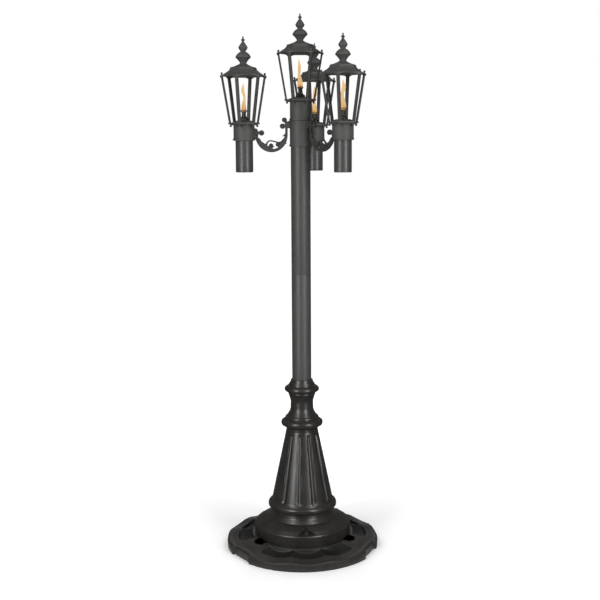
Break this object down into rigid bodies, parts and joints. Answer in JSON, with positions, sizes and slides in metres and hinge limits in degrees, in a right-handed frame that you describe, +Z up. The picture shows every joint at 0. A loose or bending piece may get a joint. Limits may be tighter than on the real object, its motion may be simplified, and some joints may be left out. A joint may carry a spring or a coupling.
{
  "type": "citronella patio lamp",
  "caption": "Tall patio oil lamp: fluted pedestal on a scalloped foot, plain pole, and open six-sided lanterns on scrolled arms round a middle one.",
  "frame": {"origin": "centre of the foot's underside, on the pole's axis", "axes": "+Z up the pole, -Y towards the viewer, +X to the viewer's right"},
  "size_m": [0.6099, 0.6087, 2.1],
  "materials": {
    "charcoal_coat": "satin charcoal powder coat",
    "cast_iron_coat": "satin charcoal paint over iron casting",
    "can_coat": "charcoal lacquer on thin steel",
    "plated_steel": "blackened zinc plate",
    "burner_metal": "dull nickel, smoke darkened",
    "cork": "pressed cork",
    "wick_rope": "glass-fibre rope"
  },
  "bodies": {
    "post": {"foot": "cast_iron_coat", "bell": "cast_iron_coat", "bell_bolts": "plated_steel", "fluted_cone": "cast_iron_coat", "neck": "cast_iron_coat", "pole_flange": "cast_iron_coat", "flange_bolts": "plated_steel", "flange_nuts": "plated_steel", "lower_pole": "charcoal_coat", "pole_coupler": "plated_steel", "upper_pole": "charcoal_coat", "top_collar": "charcoal_coat", "top_collar_screws": "plated_steel"},
    "hub": {"hub_sleeve": "charcoal_coat", "hub_screws": "plated_steel", "arm_left": "charcoal_coat", "arm_right": "charcoal_coat", "arm_rear": "charcoal_coat", "collar_left": "charcoal_coat", "collar_right": "charcoal_coat", "collar_rear": "charcoal_coat", "collar_screws_left": "plated_steel", "collar_screws_right": "plated_steel", "collar_screws_rear": "plated_steel"},
    "lantern_top": {"gallery_top": "charcoal_coat", "posts_top": "charcoal_coat", "roof_top": "charcoal_coat", "finial_top": "charcoal_coat", "canister_top": "can_coat", "cap_seal_top": "cork"},
    "burner_top": {"burner_top": "burner_metal"},
    "wick_top": {"wick_top": "wick_rope"},
    "lantern_left": {"gallery_left": "charcoal_coat", "posts_left": "charcoal_coat", "roof_left": "charcoal_coat", "finial_left": "charcoal_coat", "canister_left": "can_coat", "cap_seal_left": "cork"},
    "burner_left": {"burner_left": "burner_metal"},
    "wick_left": {"wick_left": "wick_rope"},
    "lantern_right": {"gallery_right": "charcoal_coat", "posts_right": "charcoal_coat", "roof_right": "charcoal_coat", "finial_right": "charcoal_coat", "canister_right": "can_coat", "cap_seal_right": "cork"},
    "burner_right": {"burner_right": "burner_metal"},
    "wick_right": {"wick_right": "wick_rope"},
    "lantern_rear": {"gallery_rear": "charcoal_coat", "posts_rear": "charcoal_coat", "roof_rear": "charcoal_coat", "finial_rear": "charcoal_coat", "canister_rear": "can_coat", "cap_seal_rear": "cork"},
    "burner_rear": {"burner_rear": "burner_metal"},
    "wick_rear": {"wick_rear": "wick_rope"}
  },
  "joints": [
    {"name": "hub_turn", "type": "hinge", "parent": "post", "child": "hub", "pos_m": [0, 0, 1.649], "axis": [0, 0, 1], "continuous": true},
    {"name": "lantern_top_lift", "type": "slide", "parent": "post", "child": "lantern_top", "axis": [0, 0, 1], "range_m": [0, 0.18]},
    {"name": "burner_top_unscrew", "type": "hinge", "parent": "lantern_top", "child": "burner_top", "pos_m": [0, 0, 1.78], "axis": [0, 0, 1], "range_deg": [0, 540]},
    {"name": "wick_top_raise", "type": "slide", "parent": "burner_top", "child": "wick_top", "axis": [0, 0, 1], "range_m": [0, 0.01]},
    {"name": "lantern_left_lift", "type": "slide", "parent": "hub", "child": "lantern_left", "axis": [0, 0, 1], "range_m": [0, 0.18]},
    {"name": "burner_left_unscrew", "type": "hinge", "parent": "lantern_left", "child": "burner_left", "pos_m": [-0.21444, -0.05746, 1.691], "axis": [0, 0, 1], "range_deg": [0, 540]},
    {"name": "wick_left_raise", "type": "slide", "parent": "burner_left", "child": "wick_left", "axis": [0, 0, 1], "range_m": [0, 0.01]},
    {"name": "lantern_right_lift", "type": "slide", "parent": "hub", "child": "lantern_right", "axis": [0, 0, 1], "range_m": [0, 0.18]},
    {"name": "burner_right_unscrew", "type": "hinge", "parent": "lantern_right", "child": "burner_right", "pos_m": [0.15698, -0.15698, 1.691], "axis": [0, 0, 1], "range_deg": [0, 540]},
    {"name": "wick_right_raise", "type": "slide", "parent": "burner_right", "child": "wick_right", "axis": [0, 0, 1], "range_m": [0, 0.01]},
    {"name": "lantern_rear_lift", "type": "slide", "parent": "hub", "child": "lantern_rear", "axis": [0, 0, 1], "range_m": [0, 0.18]},
    {"name": "burner_rear_unscrew", "type": "hinge", "parent": "lantern_rear", "child": "burner_rear", "pos_m": [0.05746, 0.21444, 1.691], "axis": [0, 0, 1], "range_deg": [0, 540]},
    {"name": "wick_rear_raise", "type": "slide", "parent": "burner_rear", "child": "wick_rear", "axis": [0, 0, 1], "range_m": [0, 0.01]}
  ]
}
